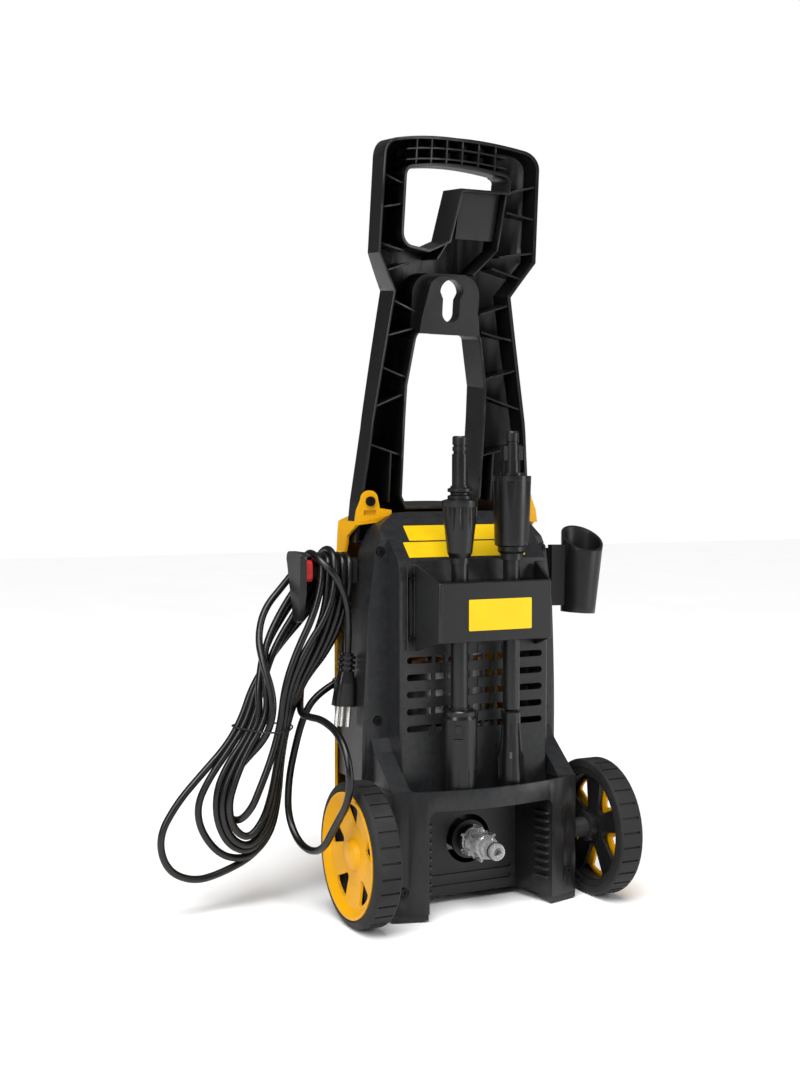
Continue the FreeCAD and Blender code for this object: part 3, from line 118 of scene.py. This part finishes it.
# Over the other turns at the arm, and the innermost wide loop.
TOP_LOOP = [
    (-.1305, .0455, .3595), (-.131, .0155, .36), (-.132, .0055, .3315), (-.1405, .006, .296),
    (-.165, .006, .262), (-.179, .013, .226), (-.182, .0185, .19), (-.189, .019, .154),
    (-.195, .019, .122), (-.204, .019, .094), (-.22, .019, .076), (-.236, .019, .088),
    (-.241, .019, .112), (-.233, .019, .138), (-.221, .019, .1635), (-.2065, .019, .185),
    (-.199, .0205, .205), (-.2, .025, .2325), (-.197, .037, .263), (-.172, .048, .302),
    (-.149, .048, .3315),
]
# A short fold from front to back, up behind the paddle.
SHORT_LOOP = [
    (-.1415, .043, .3535), (-.1425, .017, .3535), (-.1445, .011, .329), (-.154, .01, .296),
    (-.174, .007, .26), (-.186, .008, .226), (-.189, .011, .19), (-.199, .009, .158),
    (-.212, .006, .13), (-.222, .006, .108), (-.231, .022, .093), (-.238, .042, .1),
    (-.236, .046, .124), (-.222, .03, .1505), (-.204, .0135, .1755), (-.1965, .011, .1995),
    (-.197, .013, .222), (-.2025, .0235, .248), (-.203, .038, .272), (-.193, .048, .3),
    (-.1685, .054, .324),
]
# Over the arm for the last time and down to the plug.
TAIL = [
    (-.149, .048, .35), (-.1495, .0315, .358), (-.149, .0105, .352), (-.1345, -.002, .335),
    (-.1215, .0035, .3095), (-.1165, .0095, .282), (-.1175, .01, .256),
]


def link(name, data, body):
    """A new piece that rides on a body."""
    piece = bpy.data.objects.new(name, data)
    scene.collection.objects.link(piece)
    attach(piece, body)
    return piece


def nurbs(name, points, radius, cyclic=False):
    """A round curve whose control points are these.  Each point carries the radius in metres."""
    data = bpy.data.curves.new(name, "CURVE")
    data.dimensions = "3D"
    data.bevel_depth = 1
    data.bevel_resolution = 5
    data.use_fill_caps = True
    spline = data.splines.new("NURBS")
    spline.points.add(len(points) - 1)
    for point, place in zip(spline.points, points):
        point.co = (*place, 1)
        point.radius = radius
    spline.use_cyclic_u = cyclic
    spline.use_endpoint_u = not cyclic
    spline.order_u = 3
    spline.resolution_u = 14
    return data


cord_points = (LEAD + JOIN + BIG_LOOP + SECOND_LOOP + THIRD_LOOP + FOURTH_LOOP + TOP_LOOP + SHORT_LOOP
               + TAIL)
cord_curve = nurbs("mains_cord", cord_points, CORD_DIAMETER / 2)
cord = link("mains_cord", cord_curve, "machine")
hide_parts("cord_lead", "cord_hank", "cord_tail")

# A thin twist tie, drawn close round the waist of the hank.
TIE_RADIUS = 0.0009
TIE_ROUND = [
    (-.2275, .0475, .1845), (-.2245, .0365, .184), (-.2168, .0232, .1835), (-.2125, .0145, .183),
    (-.2045, .0072, .1825), (-.189, .0048, .182), (-.1792, .0143, .1815), (-.1736, .0226, .1815),
    (-.1692, .03, .1815), (-.1661, .0385, .1815), (-.1655, .049, .182), (-.169, .0527, .1825),
    (-.196, .053, .184), (-.224, .053, .185),
]
tie_curve = nurbs("cord_twist_tie", TIE_ROUND, TIE_RADIUS, True)
tie = link("cord_twist_tie", tie_curve, "machine")
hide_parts("cord_tie")


# ---------------------------------------------------------------- materials
class Finish:
    """One node material: colour that varies, roughness that varies, and a fine surface grain."""

    def __init__(self, name, roughness=0.5, metallic=0.0, specular=0.5):
        self.material = bpy.data.materials.new(name)
        self.material.use_nodes = True
        self.tree = self.material.node_tree
        self.shader = self.tree.nodes["Principled BSDF"]
        self.shader.inputs["Metallic"].default_value = metallic
        self.shader.inputs["Roughness"].default_value = roughness
        self.shader.inputs["Specular IOR Level"].default_value = specular
        self.place = self.tree.nodes.new("ShaderNodeTexCoord").outputs["Object"]
        self.bump = None

    def node(self, kind, **values):
        made = self.tree.nodes.new(kind)
        for name, value in values.items():
            setattr(made, name, value)
        return made

    def join(self, a, b):
        self.tree.links.new(a, b)

    def stretch(self, scale):
        """The surface's own coordinates, scaled differently along each axis."""
        mapping = self.node("ShaderNodeMapping")
        mapping.inputs["Scale"].default_value = scale
        self.join(self.place, mapping.inputs["Vector"])
        return mapping.outputs["Vector"]

    def noise(self, scale, detail=4.0, rough=0.55, place=None):
        made = self.node("ShaderNodeTexNoise")
        made.inputs["Scale"].default_value = scale
        made.inputs["Detail"].default_value = detail
        made.inputs["Roughness"].default_value = rough
        self.join(place or self.place, made.inputs["Vector"])
        return made.outputs["Fac"]

    def ramp(self, value, stops):
        made = self.node("ShaderNodeValToRGB")
        elements = made.color_ramp.elements
        while len(elements) < len(stops):
            elements.new(0.5)
        for element, (position, colour) in zip(elements, stops):
            element.position = position
            element.color = (*colour, 1)
        self.join(value, made.inputs["Fac"])
        return made.outputs["Color"]

    def spread(self, value, low, high, from_low=0.3, from_high=0.7):
        made = self.node("ShaderNodeMapRange")
        for name, number in (("From Min", from_low), ("From Max", from_high), ("To Min", low),
                             ("To Max", high)):
            made.inputs[name].default_value = number
        self.join(value, made.inputs["Value"])
        return made.outputs["Result"]

    def mix(self, share, first, second):
        made = self.node("ShaderNodeMix", data_type="RGBA")
        self.join(share, made.inputs["Factor"])
        self.join(first, made.inputs[6])
        self.join(second, made.inputs[7])
        return made.outputs[2]

    def colour(self, value):
        self.join(value, self.shader.inputs["Base Color"])

    def rough(self, value):
        self.join(value, self.shader.inputs["Roughness"])

    def raise_by(self, value, height, strength=1.0):
        """Adds relief of this height in metres."""
        made = self.node("ShaderNodeBump")
        made.inputs["Strength"].default_value = strength
        made.inputs["Distance"].default_value = height
        self.join(value, made.inputs["Height"])
        if self.bump:
            self.join(self.bump, made.inputs["Normal"])
        self.bump = made.outputs["Normal"]
        self.join(self.bump, self.shader.inputs["Normal"])

    def edges(self, low=0.515, high=0.56):
        """1 along raised edges, 0 on flats."""
        pointed = self.node("ShaderNodeNewGeometry").outputs["Pointiness"]
        return self.spread(pointed, 0, 1, low, high)


def tint(colour, factor):
    return tuple(min(1.0, channel * factor) for channel in colour)


def moulded(name, colour, roughness, grain=0.00004, worn=2.2, grain_scale=1400.0, specular=0.3,
            mottling=0.13):
    """Moulded plastic: eroded-tool grain, slight mottling, scuffed raised edges."""
    made = Finish(name, roughness, 0.0, specular)
    mottle = made.noise(38, 5)
    base = made.ramp(mottle, [(0.25, tint(colour, 1 - mottling)), (0.55, colour),
                              (0.8, tint(colour, 1 + mottling))])
    rubbed = [(0.42, tint(colour, worn)), (0.75, tint(colour, 1.15))]
    scuffs = made.ramp(made.noise(160, 6, 0.7), rubbed)
    made.colour(made.mix(made.edges(), base, scuffs))
    made.rough(made.spread(made.noise(14, 6, 0.6), roughness - 0.07, roughness + 0.1))
    made.raise_by(made.noise(grain_scale, 3, 0.6), grain, 0.5)
    return made


def metal(name, colour, roughness, along=(60, 60, 900), tarnish=0.75):
    """Metal with fine turning or drawing marks and a little tarnish."""
    made = Finish(name, roughness, 1.0)
    spots = made.noise(90, 6, 0.65)
    made.colour(made.ramp(spots, [(0.3, tint(colour, tarnish)), (0.6, colour),
                                  (0.85, tint(colour, 1.1))]))
    marks = made.noise(3, 4, 0.6, made.stretch(along))
    made.rough(made.spread(marks, roughness - 0.08, roughness + 0.14))
    made.raise_by(marks, 0.00003, 0.4)
    return made


CHARCOAL = (0.0068, 0.007, 0.0075)
BLACK = (0.0038, 0.004, 0.0043)
YELLOW = (0.68, 0.325, 0.0012)


def tyre_rubber():
    """Dull tread rubber, dusty in patches."""
    made = Finish("tyre_rubber", 0.72, specular=0.25)
    made.colour(made.ramp(made.noise(30, 7, 0.65), [
        (0.3, (0.009, 0.009, 0.0095)), (0.55, (0.015, 0.015, 0.0155)), (0.75, (0.029, 0.0285, 0.027))]))
    made.rough(made.spread(made.noise(60, 5), 0.55, 0.8))
    made.raise_by(made.noise(700, 5, 0.7), 0.00012, 0.7)
    return made


def seal_rubber():
    """Matt rubber of the feet and the O-ring."""
    made = Finish("seal_rubber", 0.6)
    made.colour(made.ramp(made.noise(80, 5), [
        (0.3, (0.008, 0.008, 0.008)), (0.7, (0.018, 0.018, 0.018))]))
    made.rough(made.spread(made.noise(200, 4), 0.5, 0.7))
    made.raise_by(made.noise(1500, 4), 0.00004, 0.5)
    return made


def cord_rubber():
    """Smooth cable sheath with slow ripples under a fine grain."""
    made = Finish("cord_rubber", 0.32, specular=0.42)
    made.colour(made.ramp(made.noise(25, 6, 0.6), [
        (0.3, (0.0022, 0.0022, 0.0024)), (0.55, (0.0036, 0.0036, 0.0038)),
        (0.8, (0.007, 0.007, 0.0072))]))
    made.rough(made.spread(made.noise(70, 5, 0.6), 0.24, 0.38))
    made.raise_by(made.noise(120, 3, 0.5), 0.00025, 0.35)
    made.raise_by(made.noise(2200, 3, 0.6), 0.00003, 0.4)
    return made


def band_red():
    """Red plastic with fine streaks across the hook's arm."""
    made = Finish("band_red", 0.45)
    made.colour(made.ramp(made.noise(120, 6), [
        (0.3, (0.42, 0.009, 0.009)), (0.7, (0.76, 0.018, 0.016))]))
    made.rough(made.spread(made.noise(150, 4), 0.35, 0.55))
    made.raise_by(made.noise(1, 3, 0.5, made.stretch((900, 200, 200))), 0.0002, 0.6)
    return made


def adapter_clear():
    """Glossy, clear grey plastic."""
    made = Finish("adapter_black", 0.12)
    made.colour(made.ramp(made.noise(60, 4), [
        (0.3, (0.62, 0.62, 0.63)), (0.7, (0.86, 0.86, 0.87))]))
    made.rough(made.spread(made.noise(90, 5), 0.04, 0.14))
    made.raise_by(made.noise(300, 3), 0.00005, 0.4)
    made.shader.inputs["Transmission Weight"].default_value = 0.78
    made.shader.inputs["Coat Weight"].default_value = 0.6
    made.shader.inputs["Coat Roughness"].default_value = 0.05
    return made


def cast_aluminium():
    """The pebbled skin of a casting."""
    made = Finish("aluminium", 0.48, 1.0)
    made.colour(made.ramp(made.noise(60, 6), [
        (0.3, (0.42, 0.42, 0.43)), (0.65, (0.6, 0.6, 0.61))]))
    made.rough(made.spread(made.noise(250, 4), 0.4, 0.6))
    made.raise_by(made.noise(900, 5, 0.65), 0.0002, 0.6)
    return made


def wound_copper():
    """Enamelled wire, laid in rows."""
    made = Finish("copper", 0.3, 1.0)
    made.colour(made.ramp(made.noise(70, 5), [
        (0.3, (0.5, 0.19, 0.08)), (0.65, (0.78, 0.33, 0.15))]))
    wires = made.node("ShaderNodeTexWave", wave_type="BANDS", bands_direction="Z")
    wires.inputs["Scale"].default_value = 260
    wires.inputs["Distortion"].default_value = 1.2
    made.join(made.place, wires.inputs["Vector"])
    made.raise_by(wires.outputs["Fac"], 0.0003, 0.8)
    made.rough(made.spread(made.noise(200, 4), 0.22, 0.4))
    return made


def label_yellow():
    """Printed vinyl, slightly uneven."""
    made = Finish("label_yellow", 0.36, specular=0.25)
    made.colour(made.ramp(made.noise(18, 6, 0.6), [
        (0.3, (0.66, 0.42, 0.003)), (0.7, (0.74, 0.49, 0.005))]))
    made.rough(made.spread(made.noise(45, 4), 0.28, 0.44))
    made.raise_by(made.noise(260, 3), 0.00004, 0.5)
    return made


finish = {
    "case_black": moulded("case_black", CHARCOAL, 0.35, worn=2.6, grain_scale=1100),
    "handle_black": moulded("handle_black", BLACK, 0.32, grain=0.00003, worn=2.6,
                            grain_scale=1300, specular=0.32),
    "yellow_plastic": moulded("yellow_plastic", YELLOW, 0.36, grain=0.00003, worn=0.92,
                              grain_scale=1500, specular=0.22, mottling=0.045),
    "grey_plastic": moulded("grey_plastic", (0.012, 0.0124, 0.013), 0.42, grain=0.00003),
    "lance_black": moulded("lance_black", BLACK, 0.3, grain=0.00003, worn=2.0,
                           grain_scale=1500, specular=0.36),
    "tie_plastic": moulded("tie_plastic", (0.01, 0.01, 0.01), 0.45, grain=0.00002),
    "filter_white": moulded("filter_white", (0.75, 0.75, 0.72), 0.5, grain=0.00003, worn=1.05),
    "steel": metal("steel", (0.56, 0.55, 0.53), 0.33),
    "screw_steel": metal("screw_steel", (0.022, 0.022, 0.024), 0.46, along=(300, 300, 300)),
    "pin_steel": metal("pin_steel", (0.82, 0.81, 0.78), 0.2),
    "outlet_brass": metal("outlet_brass", (0.72, 0.5, 0.2), 0.3),
    "aluminium": cast_aluminium(),
    "copper": wound_copper(),
    "tyre_rubber": tyre_rubber(),
    "seal_rubber": seal_rubber(),
    "cord_rubber": cord_rubber(),
    "band_red": band_red(),
    "adapter_black": adapter_clear(),
    "label_yellow": label_yellow(),
}

for row in frame["record"]["subparts"]:
    node = nodes[row["node"]]
    node.data.materials.clear()
    node.data.materials.append(finish[row["material_slot"]].material)
cord.data.materials.append(finish["cord_rubber"].material)
tie.data.materials.append(finish["tie_plastic"].material)

# ---------------------------------------------------------------- softened edges
EDGE = {
    "front_cover": 0.0009, "rear_cover": 0.0008, "base": 0.0009, "handle": 0.0008,
    "accessory_holder": 0.0008, "gun_holster": 0.0006, "cord_hook": 0.0007, "switch_knob": 0.0008,
}
WELD_WITHIN = 0.00002
SHARPER_THAN = math.radians(32)
for name, width in EDGE.items():
    weld = nodes[name].modifiers.new("weld", "WELD")
    weld.merge_threshold = WELD_WITHIN
    bevel = nodes[name].modifiers.new("edge", "BEVEL")
    bevel.width = width
    bevel.segments = 2
    bevel.limit_method = "ANGLE"
    bevel.angle_limit = SHARPER_THAN
    bevel.harden_normals = True

# ---------------------------------------------------------------- floor and light
FLOOR_HALF = 6
FLOOR_DROP = 0.0002
floor_mesh = bpy.data.meshes.new("floor")
plane = bmesh.new()
bmesh.ops.create_grid(plane, x_segments=24, y_segments=24, size=FLOOR_HALF)
plane.to_mesh(floor_mesh)
plane.free()
floor = bpy.data.objects.new("floor", floor_mesh)
floor.location.z = -FLOOR_DROP
scene.collection.objects.link(floor)
matt = Finish("floor_matt", 0.8)
matt.colour(matt.ramp(matt.noise(2, 3), [(0.3, (0.95, 0.95, 0.95)), (0.7, (0.97, 0.97, 0.97))]))
matt.rough(matt.spread(matt.noise(5, 3), 0.75, 0.9))
floor_mesh.materials.append(matt.material)

# The world is white to the eye and dim as a light, so black plastic keeps its depth.
AMBIENT = 0.13
BACKDROP = 1.0
world = bpy.data.worlds.new("studio")
scene.world = world
world.use_nodes = True
world_nodes = world.node_tree.nodes
world_nodes["Background"].inputs["Color"].default_value = (1, 1, 1, 1)
seen = world_nodes.new("ShaderNodeMapRange")
seen.inputs["To Min"].default_value = AMBIENT
seen.inputs["To Max"].default_value = BACKDROP
rays = world_nodes.new("ShaderNodeLightPath")
world.node_tree.links.new(rays.outputs["Is Camera Ray"], seen.inputs["Value"])
world.node_tree.links.new(seen.outputs["Result"], world_nodes["Background"].inputs["Strength"])

# The middle of the machine, which the soft boxes face.
MIDDLE = Vector((0, 0, 0.4))


def hang(name, lamp_data, place, along):
    """Puts a lamp at this place, shining along this direction."""
    lamp = bpy.data.objects.new(name, lamp_data)
    lamp.location = place
    lamp.rotation_mode = "QUATERNION"
    lamp.rotation_quaternion = Vector(along).to_track_quat("-Z", "Y")
    scene.collection.objects.link(lamp)


def soft_light(name, place, size, power):
    """A tall soft box that faces the middle of the machine."""
    data = bpy.data.lights.new(name, "AREA")
    data.shape = "RECTANGLE"
    data.size, data.size_y = size
    data.energy = power
    hang(name, data, place, MIDDLE - Vector(place))


soft_light("key", (-1.9, -1.1, 1.5), (0.8, 1.6), 34)
soft_light("fill", (1.7, -1.7, 0.9), (0.8, 1.8), 24)
overhead = bpy.data.lights.new("overhead", "SUN")
overhead.energy = 3.25
overhead.angle = math.radians(36)
hang("overhead", overhead, (0, 0, 0), (0.35, 0.7, -1.5))
